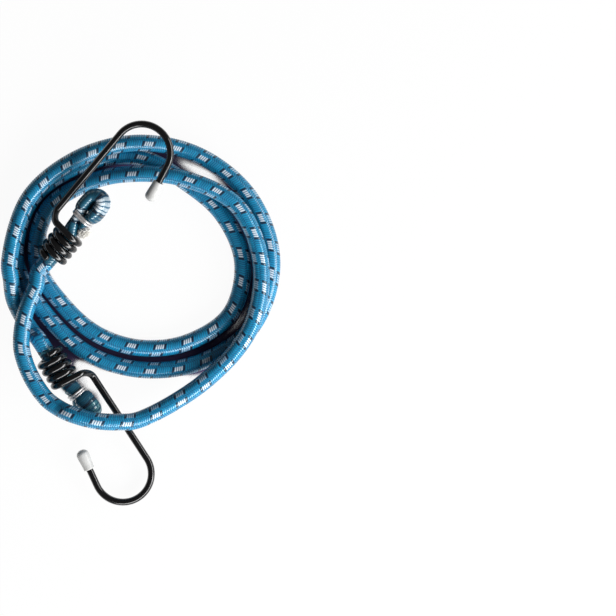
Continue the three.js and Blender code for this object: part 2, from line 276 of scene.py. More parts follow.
FITTINGS = {
    "a": {"place": (-37.0, 32.5, 15.2), "heading": 49.6, "rise": 9.5, "mouth": 12},
    "b": {"place": (-39.0, -26.8, 8.25), "heading": -57, "rise": -3.5, "mouth": -8.5},
}
COIL_CENTRE = (-0.7, 24.0)
COIL_START, COIL_STEP = -90, 30
COIL_LAY = np.array([
    [74.0, 10.5], [63.6, 7.0], [60.5, 8.8], [56.8, 7.4], [52.7, 8.2], [44.6, 9.0],
    [41.5, 6.6], [44.2, 0.6], [50.2, 0], [48.9, 0], [41.5, 0], [39.7, 0],
    [40.5, 0], [43.9, 0], [48.9, 0], [48.2, 0], [44.7, 0], [43.2, 0],
    [49.3, 0], [53.4, 0], [59.2, 0], [58.4, 0], [50.7, 0], [49.6, 0],
    [50.7, 0], [54.8, 0], [60.9, 0], [62.2, 0], [60.1, 0], [57.4, 1.5],
    [56.0, 5.8], [56.7, 8.0], [60.0, 8.7], [61.2, 8.7],
])
STRETCH_A = np.array([
    [-49.4, 12.7, 9.5], [-52.0, 6.6, 9.5], [-54.1, 0.5, 10.2], [-55.8, -8.0, 10.6],
    [-56.0, -16.5, 10.5], [-53.9, -24.5, 10.0],
])
LEAD_IN = np.array([
    [-50.1, -32.5, 9.8], [-44.2, -40.5, 10.0], [-38.4, -44.7, 11.0], [-32.7, -47.3, 13.7],
    [-21.4, -50.4, 14.5], [-10.1, -51.1, 12.8],
])
STRETCH_B = np.array([
    [-61.1, 15.5, 7.7], [-60.0, 6.6, 4.6], [-56.2, -1.9, 1.6], [-51.1, -9.4, 2.6],
])


def fitting_frame(heading, rise, **_):
    """Columns: the winding's axis towards the hook, left of it, and up from both."""
    turn, lift = np.radians([heading, rise])
    axis = np.array([np.cos(turn) * np.cos(lift), np.sin(turn) * np.cos(lift), np.sin(lift)])
    left = np.array([-np.sin(turn), np.cos(turn), 0.0])
    return np.c_[axis, left, np.cross(axis, left)]


def placed(points, fitting):
    """Points of a fitting's own frame, put where the fitting lies."""
    return np.asarray(points) @ fitting_frame(**fitting).T + np.array(fitting["place"])


def route_points():
    """Every point that the cord passes, from the winding of end A to that of end B."""
    angle = np.radians(COIL_START + COIL_STEP * np.arange(len(COIL_LAY)))
    coil = np.c_[
        COIL_CENTRE[0] + COIL_LAY[:, 0] * np.cos(angle),
        COIL_CENTRE[1] + COIL_LAY[:, 0] * np.sin(angle),
        COIL_LAY[:, 1],
    ]
    lying = np.vstack([STRETCH_A, LEAD_IN, coil, STRETCH_B]) + [0, 0, LYING_HEIGHT]
    run = np.array([[SEAT, 0, 0], [SEAT - STRAIGHT_RUN, 0, 0]])
    return np.vstack([placed(run, FITTINGS["a"]), lying, placed(run[::-1], FITTINGS["b"])])


def smooth_line(points, steps):
    """A curve through points. Each span is a cubic, and its end slopes come from the chords before, on
    and after it, each timed by the square root of its length, so that it never overshoots."""
    ends = np.vstack([2 * points[0] - points[1], points, 2 * points[-1] - points[-2]])
    p0, p1, p2, p3 = ends[:-3], ends[1:-2], ends[2:-1], ends[3:]
    d0, d1, d2 = (np.linalg.norm(b - a, axis=1, keepdims=True) ** 0.5
                  for a, b in ((p0, p1), (p1, p2), (p2, p3)))
    slope_in = ((p1 - p0) / d0 - (p2 - p0) / (d0 + d1) + (p2 - p1) / d1) * d1
    slope_out = ((p2 - p1) / d1 - (p3 - p1) / (d1 + d2) + (p3 - p2) / d2) * d1
    t = np.linspace(0, 1, steps, endpoint=False)[None, :, None]
    bend = -3 * p1 + 3 * p2 - 2 * slope_in - slope_out
    ease = 2 * p1 - 2 * p2 + slope_in + slope_out
    spans = p1[:, None] + slope_in[:, None] * t + bend[:, None] * t**2 + ease[:, None] * t**3
    return np.vstack([spans.reshape(-1, points.shape[1]), points[-1:]])


def walked(line):
    """Distance along a line at each of its points."""
    return np.r_[0, np.cumsum(np.linalg.norm(np.diff(line[:, :3], axis=0), axis=1))]


def at_distances(line, distances):
    """Points of a line at the given distances along it."""
    along = walked(line)
    return np.stack([np.interp(distances, along, column) for column in line.T], axis=1)


route = smooth_line(route_points(), ROUTE_STEPS)
route_length = walked(route)[-1]
near_split = np.linalg.norm(route - (STRETCH_A[-1] + [0, 0, LYING_HEIGHT]), axis=1).argmin()
split_at = walked(route)[near_split]
print(f"cord {route_length:.0f} mm between the windings, stretch next to end A {split_at:.0f} mm")

# %% [markdown]
# ## Tubes as grids
# Cord, wire, rubber and tips are all tubes: a ring of points carried along a line. A tube is worked
# out as one array of rings by points, so a bulge, a groove or a slant is one more term in a formula.
# The ends are closed by a point in their middle.


# %% Grids into meshes
def unit(vectors):
    """Vectors of length one."""
    return vectors / np.linalg.norm(vectors, axis=-1, keepdims=True)


def tube_faces(rings, around):
    """Corner numbers of a closed tube: four for each face of the grid, then three for each face of the
    two end caps, whose middle points come after the grid's. All run anticlockwise, seen from outside."""
    ring, step = np.meshgrid(np.arange(rings - 1) * around, np.arange(around), indexing="ij")
    after = (step + 1) % around
    quads = np.stack([ring + step, ring + after, ring + around + after, ring + around + step], axis=-1)
    turn, turned = step[0], after[0]
    top = (rings - 1) * around
    first = np.stack([np.full(around, rings * around), turned, turn], axis=-1)
    final = np.stack([np.full(around, rings * around + 1), top + turn, top + turned], axis=-1)
    sizes = np.r_[np.full((rings - 1) * around, 4), np.full(2 * around, 3)]
    return np.r_[quads.ravel(), first.ravel(), final.ravel()], sizes


def tube_piece(name, grids, material, uv=None):
    """One object from closed tubes, each a grid of rings by points in millimetres. uv holds a pattern's
    two numbers at the four corners of each face of a single grid."""
    points, corners, sizes, count = [], [], [], 0
    for grid in grids:
        middles = grid[[0, -1]].mean(axis=1)
        points.append(np.vstack([grid.reshape(-1, 3), middles]))
        faces, face_sizes = tube_faces(*grid.shape[:2])
        corners.append(faces + count)
        sizes.append(face_sizes)
        count += len(points[-1])
    points, corners, sizes = np.vstack(points) * MM, np.concatenate(corners), np.concatenate(sizes)
    mesh = bpy.data.meshes.new(name)
    mesh.vertices.add(count)
    mesh.vertices.foreach_set("co", points.ravel())
    mesh.loops.add(len(corners))
    mesh.loops.foreach_set("vertex_index", corners.astype(np.int32))
    mesh.polygons.add(len(sizes))
    mesh.polygons.foreach_set("loop_start", np.r_[0, np.cumsum(sizes)[:-1]].astype(np.int32))
    if uv is not None:
        flat = np.zeros((len(corners), 2), np.float32)
        flat[:uv.size // 2] = uv.reshape(-1, 2)
        mesh.uv_layers.new(name="braid").data.foreach_set("uv", flat.ravel())
    mesh.update(calc_edges=True)
    mesh.shade_smooth()
    mesh.materials.append(material)
    made = bpy.data.objects.new(name, mesh)
    scene.collection.objects.link(made)
    print(f"{name}: {int((sizes - 2).sum())} triangles")
    return made


def frames(line, reference=(0, 0, 1)):
    """Along a line, across it and square to both, where across is square to the reference too."""
    along = unit(np.gradient(line, axis=-2))
    across = unit(np.cross(reference, along))
    return along, across, np.cross(along, across)


# %% [markdown]
# ## The braid's finish
# The sheath is woven from fine polyester yarn. Seen close, each yarn is a short raised rib across the
# cord. Thirteen ribs make one repeat: a dark one, four white ones, a dark one, and seven blue. The
# repeat runs in six rows round the cord, each a little ahead of the last. The mesh carries the row and
# rib numbers as its UV map, so the finish only has to count them.

# %% Braid finish
ROWS = 6
REPEAT = 13
WHITE_RIBS = 4
BLUE = (0.003, 0.33, 0.60, 1)
DEEP_BLUE = (0.001, 0.13, 0.28, 1)
PULLED_BLUE = (0.004, 0.085, 0.14, 1)
PULLED_DEEP = (0.002, 0.03, 0.06, 1)
NAVY = (0.001, 0.002, 0.012, 1)
YARN_WHITE = (0.74, 0.82, 0.88, 1)
# Painted shade: end B's white yarn is given as this dim teal, because that end lies in shade under a strand.
WHITE_YARN_IN_PAINTED_SHADE = (0.05, 0.19, 0.22, 1)
# Painted shade for the grooves between ribs and the tucks between rows: a deep blue that the braid's colour
# darkens towards.
GROOVE_PAINTED_SHADE = (0.001, 0.035, 0.13, 1)
# Every other row's white yarn is half as strong. This is a row pattern and also painted shade: with little
# turn an odd row lies on top, so the dimmer rows are the ones beside it.
PAINTED_SHADE_ROW_WHITE = 0.5
YARN_GLOSS = 1.0
YARN_COAT = 1.8
YARN_SHEEN = (0.45, 0.88, 1.0, 1)
COAT_ROUGHNESS = 0.17
CREST_ROUGHNESS, CHANCE_ROUGHNESS, GROOVE_ROUGHNESS = 0.15, 0.1, 0.75
STROKE_FULL, STROKE_END = 0.5, 0.95
YARN_FADE = 0.12
DARK_BEYOND = 0.2
DEEP_SHARE = 0.55
TUCK_SHARE, TUCK_POWER = 0.5, 10
DEEPEST_GROOVE_SHADE = 0.95


def braid_finish(name, light_blue, deep_blue, pale, cover, groove):
    """Colour by counting: a rib's number within the repeat picks pale, dark or blue yarn. Pale yarn fills
    the middle of its rib and leaves blue strokes between, and it covers that share of the row's breadth;
    dark yarn reaches a little beyond it. Grooves between ribs, as deep in colour as the given share, and
    tucks between rows are darker, and chance makes single ribs darker."""
    material, tone, shader = new_finish(name)
    place = tone.node("ShaderNodeUVMap", {"uv_map": "braid"})
    row = tone.node("ShaderNodeSeparateXYZ", (), {0: place})
    rib = row.out(1)
    rib_number, row_number = rib.maths("FLOOR", rib), row.maths("FLOOR", row)
    number = rib_number % REPEAT
    white = (number > 0.5) * (number < WHITE_RIBS + 0.5)
    dark = (number < 0.5) + (number > WHITE_RIBS + 0.5) * (number < WHITE_RIBS + 1.5)
    rib_edge = abs(rib - rib_number - 0.5) * 2
    row_edge = abs(row - row_number - 0.5) * 2
    each = tone.node("ShaderNodeCombineXYZ", (), {0: rib_number, 1: row_number})
    chance = tone.node("ShaderNodeTexWhiteNoise", {"noise_dimensions": "2D"}, {"Vector": each})
    stroke = tone.node("ShaderNodeMapRange", {"interpolation_type": "SMOOTHSTEP"}, {
        0: rib_edge, 1: STROKE_FULL, 2: STROKE_END, 3: 1.0, 4: 0.0})
    middle, ends = [tone.node("ShaderNodeMapRange", {"interpolation_type": "SMOOTHSTEP"}, {
        0: row_edge, 1: reach - YARN_FADE, 2: reach + YARN_FADE, 3: 1.0, 4: 0.0})
        for reach in (cover, cover + DARK_BEYOND)]
    # Even rows get weaker white: partly a row pattern, partly painted shade on the rows beside the top one.
    strand = white * stroke * middle * (PAINTED_SHADE_ROW_WHITE + (1 - PAINTED_SHADE_ROW_WHITE) * (row_number % 2))
    blue = (chance * DEEP_SHARE).mix(light_blue, deep_blue)
    colour = (dark * ends).mix(strand.mix(blue, pale), NAVY)
    # Painted shade: grooves between ribs and tucks between rows darken the colour, by the given share.
    groove_painted_shade = groove * (rib_edge ** 2 + TUCK_SHARE * row_edge ** TUCK_POWER)
    colour = groove_painted_shade.maths("MINIMUM", groove_painted_shade, DEEPEST_GROOVE_SHADE).mix(colour, GROOVE_PAINTED_SHADE)
    fibres = tone.node("ShaderNodeTexWave", {"bands_direction": "Y"}, {
        "Vector": place, "Scale": 1.9, "Distortion": 1.2, "Detail": 2.0})
    bump = tone.node("ShaderNodeBump", (), {
        "Strength": 0.1, "Distance": 0.1 * MM, "Height": fibres})
    feed(tone, shader, {
        "Base Color": colour,
        "Roughness": CREST_ROUGHNESS + CHANCE_ROUGHNESS * chance + GROOVE_ROUGHNESS * rib_edge,
        "Specular IOR Level": YARN_GLOSS, "Specular Tint": YARN_SHEEN,
        "Coat Weight": 1 - rib_edge, "Coat Roughness": COAT_ROUGHNESS, "Coat IOR": YARN_COAT,
        "Normal": bump})
    return material


braid = braid_finish("braided_yarn", BLUE, DEEP_BLUE, YARN_WHITE, cover=0.48, groove=0.95)
pulled_braid = {
    "a": braid_finish("pulled_yarn", PULLED_BLUE, PULLED_DEEP, YARN_WHITE, cover=0.95, groove=0.35),
    # End B lies under a strand, so its white yarn is painted dim teal, a painted shade.
    "b": braid_finish("shaded_yarn", PULLED_BLUE, PULLED_DEEP, WHITE_YARN_IN_PAINTED_SHADE, cover=0.95, groove=0.35),
}
print("braid repeat", REPEAT, "ribs in", ROWS, "rows")

# %% [markdown]
# ## The braided cord
# A rib is about a millimetre long, so the cord has nearly a thousand of them. Each gets three rings:
# one in the groove and two on its back. Within a row the ribs lean, as yarns of a braid do, and where
# two rows meet the yarn tucks under. Where the cord lies on the table its underside is pressed flat.

# %% Cord surface
RIB_LENGTH = 13.5 / REPEAT
RINGS_PER_RIB = 3
ROW_POINTS = 5
AROUND = ROWS * ROW_POINTS
GROOVE_DEPTH = 0.13
TUCK_DEPTH = 0.14
LEAN = np.array([0.0, 0.36, 0.12, -0.12, -0.36])
RIB_PROFILE = np.array([-GROOVE_DEPTH, 0.0, 0.0])
DRIFT_RIBS = 3
UV_INSET, RIB_NUDGE = 0.001, 0.01


def braided_grid(line, axes, radius, turn, relief=1.0):
    """Rings round a line. A point's distance from it is the radius, less the groove between ribs and
    the tuck between rows, and it moves along the line by its place in the leaning row. The relief is the
    share of groove, tuck and lean that is left where the braid is pulled."""
    along, across, up = axes
    place = np.arange(AROUND)
    angle = 2 * np.pi * place / AROUND + turn[:, None]
    groove = RIB_PROFILE[np.arange(len(line)) % RINGS_PER_RIB][:, None]
    tuck = np.where(place % ROW_POINTS == 0, -TUCK_DEPTH, 0.0)
    relief = np.reshape(relief, (-1, 1))
    reach = radius[:, None] + relief * (groove + tuck)
    shift = np.broadcast_to(relief * LEAN[place % ROW_POINTS], reach.shape)
    return (line[:, None] + (reach * np.cos(angle))[..., None] * across[:, None]
            + (reach * np.sin(angle))[..., None] * up[:, None] + shift[..., None] * along[:, None])


def braid_numbers(rings, lag, start):
    """Row and rib number at each face's corners. In a row, each repeat starts a few ribs from that in
    the row before. The lag drifts along the cord, and a row takes up its drift a few ribs before a repeat
    starts, within the blue yarn."""
    rib = np.arange(rings - 1) / RINGS_PER_RIB
    repeats = np.arange(-2, int(rib[-1]) // REPEAT + 3)
    starts = repeats * REPEAT + start + np.rint(np.arange(ROWS)[:, None] * lag(repeats * REPEAT))
    found = np.stack([
        np.searchsorted(row - DRIFT_RIBS, np.floor(rib + RIB_NUDGE), side="right") - 1 for row in starts])
    low = rib - np.take_along_axis(starts, found, axis=1) + REPEAT * found
    place = np.arange(AROUND)
    row = place // ROW_POINTS
    uv = np.empty((rings - 1, AROUND, 4, 2))
    uv[..., [0, 3], 0] = np.maximum(place / ROW_POINTS, row + UV_INSET)[:, None]
    uv[..., [1, 2], 0] = np.minimum((place + 1) / ROW_POINTS, row + 1 - UV_INSET)[:, None]
    uv[..., :2, 1] = low[row].T[..., None] + UV_INSET
    uv[..., 2:, 1] = low[row].T[..., None] + 1 / RINGS_PER_RIB - UV_INSET
    return uv


SPIRAL_LAG, BAND_LAG = -REPEAT / ROWS, -0.4
BAND_RIB, BAND_SPREAD = 165, 50
HALF_ROW = np.pi / ROWS
TWIST_SHARE, TWIST_LENGTH = 0.3, 90.0
PATTERN_START = 2


def cord_lag(ribs):
    """Ribs from one row's repeat to the next row's: a spiral, but nearly a band where the cord first
    crosses the lower side of the coil."""
    return SPIRAL_LAG + (BAND_LAG - SPIRAL_LAG) * np.exp(-((ribs - BAND_RIB) / BAND_SPREAD) ** 2)


stretch_rings = int(round(split_at / RIB_LENGTH)) * RINGS_PER_RIB
main_rings = int(round((route_length - split_at) / RIB_LENGTH)) * RINGS_PER_RIB
distances = np.r_[np.linspace(0, split_at, stretch_rings + 1),
                  np.linspace(split_at, route_length, main_rings + 1)[1:]]
cord_line = at_distances(route, distances)
band = np.exp(-((distances / RIB_LENGTH - BAND_RIB) / BAND_SPREAD) ** 2)
cord_turn = HALF_ROW * (band + TWIST_SHARE * np.sin(distances / TWIST_LENGTH))
cord_grid = braided_grid(
    cord_line, frames(cord_line), np.full(len(distances), CORD_DIAMETER / 2), cord_turn)
cord_grid[..., 2] = np.maximum(cord_grid[..., 2], 0.0)
cord_uv = braid_numbers(len(distances), cord_lag, PATTERN_START)

cord = tube_piece("cord", [cord_grid[stretch_rings:]], braid, cord_uv[stretch_rings:])
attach(cord, "cord")
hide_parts("cord_sheath")

# %% Stretch of the cord next to end A
stretch = tube_piece("cord_stretch", [cord_grid[:stretch_rings + 1]], braid, cord_uv[:stretch_rings])
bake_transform(stretch)
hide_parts("stretch_a_sheath")

# %% [markdown]
# ## The folded ends
# Past the winding the cord is pulled thin, folded back and squeezed by a wire ring. The same braid runs
# on, so the same grid is used on a shorter line, in the fitting's own frame, with a radius that changes.
# For each end, FOLDS gives the stations of ring and bight, how far the cord is broadened at both, the
# fold's roll and swing, where its pale yarn starts, and the size of its frayed ball.

# %% Folded ends
NECK, FOLD, CUT = 4.2, 6.4, 4.6
LEG_GAP = 0.5
RING_REACH, SWELL_REACH = 1.5, 3.4
PLUMP = 0.32
PULLED_RIB = 1.4 * RIB_LENGTH
PULLED_RELIEF = 0.4
CUT_TURN, CUT_BEND, CUT_STEPS = 65, 2.0, 3
SWELL_SHARE = 0.96
PULL_LENGTH = 5
ROUND_STEPS, CURVE_STEPS = 8, 24
TAPER_START = EXIT_STATION - WIRE / 2
LEG_OFFSET = (NECK + LEG_GAP) / 2
FOLDS = {
    "a": {"ring": 16.0, "bight": 25.2, "breadth": (1.8, 1.6), "roll": -10, "swing": 0, "pale_at": 1,
          "ball": 3.6},
    "b": {"ring": 14.0, "bight": 22.0, "breadth": (1.4, 1.3), "roll": 75, "swing": 8, "pale_at": -4,
          "ball": 2.5},
}


def fold_rows(ring, bight, **_):
    """Station, offset, zero and radius along the folded end: through the winding, thin past the ring,
    round a half circle, thin past the ring again, and out to the cut."""
    fold = (FOLD + LEG_GAP) / 2
    swell = SWELL_SHARE * FOLD
    front, back = ring + RING_REACH, ring - RING_REACH
    way_in = [[SEAT, 0, CORD_DIAMETER], [END_REAR / 2, 0, CORD_DIAMETER], [TAPER_START, 0, CORD_DIAMETER],
              [(TAPER_START + back) / 2, 0.5 * LEG_OFFSET, (CORD_DIAMETER + NECK) / 2],
              [back, LEG_OFFSET, NECK], [front, LEG_OFFSET, NECK],
              [ring + SWELL_REACH, (swell + LEG_GAP) / 2, swell]]
    angle = np.pi / 2 - np.pi * np.arange(ROUND_STEPS + 1) / ROUND_STEPS
    round_turn = np.c_[bight + fold * np.cos(angle), fold * np.sin(angle), np.full(len(angle), FOLD)]
    way_back = [[ring + SWELL_REACH, -(swell + LEG_GAP) / 2, swell], [front, -LEG_OFFSET, NECK],
                [back, -LEG_OFFSET, NECK]]
    turn = np.radians(CUT_TURN) * np.arange(1, CUT_STEPS + 1) / CUT_STEPS
    way_out = np.c_[back - CUT_BEND * np.sin(turn), -LEG_OFFSET - CUT_BEND * (1 - np.cos(turn)),
                    np.linspace(NECK, CUT, CUT_STEPS + 1)[1:]]
    rows = np.vstack([way_in, round_turn, way_back, way_out])
    return np.c_[rows[:, :2], np.zeros(len(rows)), rows[:, 2] / 2]


def step(value, low, high):
    """Zero up to low, one from high on, and a smooth rise between."""
    share = np.clip((value - low) / (high - low), 0, 1)
    return share**2 * (3 - 2 * share)


def broadened(grid, ring, bight, breadth, **_):
    """The squeezed cord gives way square to the fold: that side grows towards the ring, and past it
    eases again towards the bight."""
    at_ring, at_bight = breadth
    squeezed = step(grid[..., 0], TAPER_START, ring - RING_REACH)
    eased = step(grid[..., 0], ring + RING_REACH, bight)
    grown = 1 + (at_ring - 1) * squeezed - (at_ring - at_bight) * eased
    return grid * np.stack([np.ones_like(grown), np.ones_like(grown), grown], axis=-1)


def rolled(points, degrees):
    """Points of a fitting turned about the winding's axis."""
    c, s = np.cos(np.radians(degrees)), np.sin(np.radians(degrees))
    return points @ np.array([[1, 0, 0], [0, c, s], [0, -s, c]])


def swung(points, degrees, ring):
    """Points of a fitting swung sideways. The swing grows from nothing at the winding to all at the ring."""
    angle = np.radians(degrees) * step(points[..., 0], TAPER_START, ring)
    x, y, z = points[..., 0] - TAPER_START, points[..., 1], points[..., 2]
    return np.stack([TAPER_START + x * np.cos(angle) - y * np.sin(angle),
                     x * np.sin(angle) + y * np.cos(angle), z], axis=-1)


def in_place(grid, letter):
    """A grid of a fitting's own frame, put where the fitting lies, with nothing below the table."""
    laid = placed(grid, FITTINGS[letter])
    laid[..., 2] = np.maximum(laid[..., 2], 0.0)
    return laid


def fold_in_place(grid, letter):
    """A grid of a folded end: rolled about the winding, swung sideways and put in place."""
    fold = FOLDS[letter]
    return in_place(swung(rolled(grid, fold["roll"]), fold["swing"], fold["ring"]), letter)


def fold_samples(letter):
    """Rows of the folded end at even distances, three to each rib."""
    curve = smooth_line(fold_rows(**FOLDS[letter]), CURVE_STEPS)
    ribs = int(round(walked(curve)[-1] / PULLED_RIB))
    return at_distances(curve, np.linspace(0, walked(curve)[-1], ribs * RINGS_PER_RIB + 1))


for letter, body in (("a", "end_a"), ("b", "cord")):
    rows = fold_samples(letter)
    line, radius = rows[:, :3], rows[:, 3]
    pulled = np.clip((line[:, 0] - TAPER_START) / PULL_LENGTH, 0, 1)
    grid = braided_grid(line, frames(line), radius + PLUMP * pulled, np.zeros(len(line)),
                        1 - (1 - PULLED_RELIEF) * pulled)
    start = line[:, 0].argmax() // RINGS_PER_RIB + FOLDS[letter]["pale_at"] - 1
    numbers = braid_numbers(len(line), lambda ribs: np.zeros(len(ribs)), start)
    laid = fold_in_place(broadened(grid, **FOLDS[letter]), letter)
    end = tube_piece(f"folded_end_{letter}", [laid], pulled_braid[letter], numbers)
    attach(end, body)
    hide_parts(f"end_{letter}_sheath")
    print(f"folded end {letter} takes {walked(line)[-1]:.0f} mm of cord")

# %% [markdown]
# ## Rubber core
# Inside the sheath runs a bundle of pale rubber strands. It shows only where the cord is cut: there the
# strands spring apart into a small brush. The hidden part is one smooth tube along the same lines.

# %% Rubber finish
RUBBER = (0.93, 0.92, 0.89, 1)
RUBBER_SHADE = (0.74, 0.72, 0.67, 1)


def rubber_finish():
    """Cream rubber with cloudy patches and a fine, dusty grain."""
    material, tone, shader = new_finish("core_rubber")
    place = tone.node("ShaderNodeTexCoord", output=3)
    cloud = tone.node("ShaderNodeTexNoise", (), {"Vector": place, "Scale": 900.0, "Detail": 3.0})
    grain = tone.node("ShaderNodeTexNoise", (), {"Vector": place, "Scale": 5000.0, "Detail": 2.0})
    bump = tone.node("ShaderNodeBump", (), {
        "Strength": 0.2, "Distance": 0.05 * MM, "Height": grain})
    feed(tone, shader, {
        "Base Color": (cloud * 0.8).mix(RUBBER, RUBBER_SHADE), "Roughness": 0.55 + 0.3 * grain,
        "Normal": bump})
    return material


rubber = rubber_finish()
print("rubber finish ready")

# %% Core inside the cord
CORE_RADIUS = 2.6
CORE_AROUND = 12
CORE_STEP = 4.0


def round_grid(line, axes, radius, around):
    """Plain rings round a line, or round each of several lines."""
    _, across, up = axes
    angle = 2 * np.pi * np.arange(around)[:, None] / around
    ring = np.cos(angle) * across[..., None, :] + np.sin(angle) * up[..., None, :]
    return line[..., None, :] + np.asarray(radius)[..., None, None] * ring


def core_tube(name, low, high):
    """A smooth core between two distances along the route."""
    line = at_distances(route, np.linspace(low, high, int((high - low) / CORE_STEP) + 2))
    grid = round_grid(line, frames(line), np.full(len(line), CORE_RADIUS), CORE_AROUND)
    return tube_piece(name, [grid], rubber)


core = core_tube("core", split_at + CLEARANCE, route_length)
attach(core, "cord")
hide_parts("cord_core")
stretch_core = core_tube("core_stretch", 0.0, split_at - CLEARANCE)
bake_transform(stretch_core)
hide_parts("stretch_a_core")

# %% Frayed brush at each cut
STRAND_RADIUS = 0.27
STRAND_AROUND = 6
STRAND_RINGS = 7
BRUSH_LEVELS = 9
BALL_CENTRE = 2.2
BALL_SPREAD = np.radians(118)
BRUSH_ROOT = 1.3
BRUSH_MOUTH = 1.5
CORE_INSET = 1.4
ANGLE_CHANCE, TILT_CHANCE, REACH_CHANCE = 0.1, (0.85, 1.1), (0.86, 1.06)
STRAND_TAPER, TAPER_SHARE = 0.2, 0.95
draws = np.random.default_rng(7)


def brush_grids(line, ball):
    """Strands at the cut, in the fitting's frame. Each is a curve of second degree from its root inside
    the sheath, by a point at the cut, to its tip on a ball. The further a root is from the middle, the
    further round the ball is its tip. Chance makes each a little longer or shorter."""
    out = unit(line[-1] - line[-1 - RINGS_PER_RIB])
    up = np.array([0.0, 0.0, 1.0])
    counts = np.r_[1, 6 * np.arange(1, BRUSH_LEVELS + 1)]
    level = np.repeat(np.arange(BRUSH_LEVELS + 1), counts)[:, None] / BRUSH_LEVELS
    angle = np.concatenate([2 * np.pi * np.arange(count) / count for count in counts])[:, None]
    angle = angle + draws.normal(0, ANGLE_CHANCE, angle.shape)
    side = np.cos(angle) * np.cross(up, out) + np.sin(angle) * up
    tilt = BALL_SPREAD * level * draws.uniform(*TILT_CHANCE, level.shape)
    way = np.cos(tilt) * out + np.sin(tilt) * side
    cut, rim = line[-1], BRUSH_MOUTH * level * side
    reach = ball * draws.uniform(*REACH_CHANCE, level.shape)
    root, pull = cut - BRUSH_ROOT * out + rim, cut + BALL_CENTRE * out + rim
    tips = cut + BALL_CENTRE * out + reach * way
    t = np.linspace(0, 1, STRAND_RINGS)[:, None]
    lines = (1 - t) ** 2 * root[:, None] + 2 * t * (1 - t) * pull[:, None] + t**2 * tips[:, None]
    tip = np.sqrt(1 - TAPER_SHARE * np.clip(1 - (1 - t[:, 0]) / STRAND_TAPER, 0, 1) ** 2)
    radius = np.broadcast_to(STRAND_RADIUS * tip, lines.shape[:2])
    return list(round_grid(lines, frames(lines), radius, STRAND_AROUND))


for letter, body in (("a", "end_a"), ("b", "cord")):
    rows = fold_samples(letter)
    line, radius = rows[:, :3], rows[:, 3]
    hidden_core = round_grid(line, frames(line), radius - CORE_INSET, CORE_AROUND)[:-RINGS_PER_RIB]
    grids = [broadened(hidden_core, **FOLDS[letter]), *brush_grids(line, FOLDS[letter]["ball"])]
    brush = tube_piece(f"core_end_{letter}", [fold_in_place(grid, letter) for grid in grids], rubber)
    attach(brush, body)
    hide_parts(f"end_{letter}_core")

# %% [markdown]
# ## Hooks
# Each hook is one length of steel wire: four turns grip the cord, then the wire steps aside, runs on as
# the shank, bends round and ends in a short point. It is dipped in black plastic, which leaves a glossy,
# slightly uneven skin. A round wire is a plain tube, so all the care goes into the line that it follows.

# %% Coated wire finish
COATING = (0.004, 0.004, 0.0045, 1)
COATING_WORN = (0.02, 0.02, 0.021, 1)


def coating_finish():
    """Black dip: nearly even colour, gloss that varies in soft patches, and a faint waviness."""
    material, tone, shader = new_finish("black_coating")
    place = tone.node("ShaderNodeTexCoord", output=3)
    patch = tone.node("ShaderNodeTexNoise", (), {"Vector": place, "Scale": 260.0, "Detail": 4.0})
    fine = tone.node("ShaderNodeTexNoise", (), {"Vector": place, "Scale": 2600.0, "Detail": 2.0})
    bump = tone.node("ShaderNodeBump", (), {
        "Strength": 0.12, "Distance": 0.1 * MM, "Height": patch})
    scuffed = tone.node("ShaderNodeMapRange", (), {0: fine, 1: 0.62, 2: 0.8})
    feed(tone, shader, {
        "Base Color": scuffed.mix(COATING, COATING_WORN), "Roughness": 0.12 + 0.14 * patch,
        "Specular IOR Level": 0.75, "Normal": bump})
    return material


coating = coating_finish()
print("coating finish ready")

# %% Hook lines and tubes
SHANK_OFFSET = 12.0
EXIT_BEND = 5.0
DROP_START = 0.45
BEND_STATION, BEND_RADIUS = 57.6, 13.4
POINT_LENGTH, TIP_LENGTH, TIP_BORE = 18.4, 10.0, 7.6
WIRE_STEP = 0.35
WIRE_AROUND = 18
TURN_STEPS, WAY_STEPS, BEND_STEPS = 48, 24, 48
END_CLOSE, WIRE_END_EASE = 0.85, 0.9


def hook_rows(mouth):
    """Point and reference direction along the wire. The winding is a helix with its radius as reference.
    The way out is a leaning run and a quarter circle in plan, while its height drops by a smooth step.
    Then come the straight shank, the bend's arc and the point, with the reference square to the hook."""
    angle = np.linspace(-2 * np.pi * TURNS, 0, TURN_STEPS * TURNS + 1)
    radial = np.c_[np.zeros(len(angle)), np.sin(angle), np.cos(angle)]
    winding = np.c_[EXIT_STATION + TURN_PITCH * angle / (2 * np.pi), WINDING_RADIUS * radial[:, 1:]]
    side_run = SHANK_OFFSET - EXIT_BEND
    lean = TURN_PITCH / (2 * np.pi * WINDING_RADIUS)
    t = np.linspace(0, 1, WAY_STEPS)[1:]
    turn = np.pi - t * np.pi / 2
    start = np.array([EXIT_STATION + lean * side_run, side_run])
    plan = np.vstack([
        [EXIT_STATION, 0], np.c_[EXIT_STATION + lean * side_run * t, side_run * t],
        start + [EXIT_BEND, 0] + EXIT_BEND * np.c_[np.cos(turn), np.sin(turn)]])
    share = walked(plan)[1:] / walked(plan)[-1]
    way_out = np.c_[plan[1:], WINDING_RADIUS * (1 - step(share, DROP_START, 1))]
    bend = np.pi / 2 - np.linspace(0, np.pi - np.radians(mouth), BEND_STEPS)
    arc = np.c_[BEND_STATION + BEND_RADIUS * np.cos(bend),
                SHANK_OFFSET + BEND_RADIUS * (np.sin(bend) - 1), np.zeros(BEND_STEPS)]
    back = -np.array([np.cos(np.radians(mouth)), np.sin(np.radians(mouth)), 0])
    wire_end = arc[-1:] + (POINT_LENGTH - TIP_LENGTH + TIP_BORE - CLEARANCE) * back
    points = np.vstack([winding, way_out, arc, wire_end])
    reference = np.tile([0.0, 0.0, 1.0], (len(points), 1))
    reference[:len(winding)] = radial
    return np.c_[points, reference], back, arc[-1] + (POINT_LENGTH - TIP_LENGTH) * back


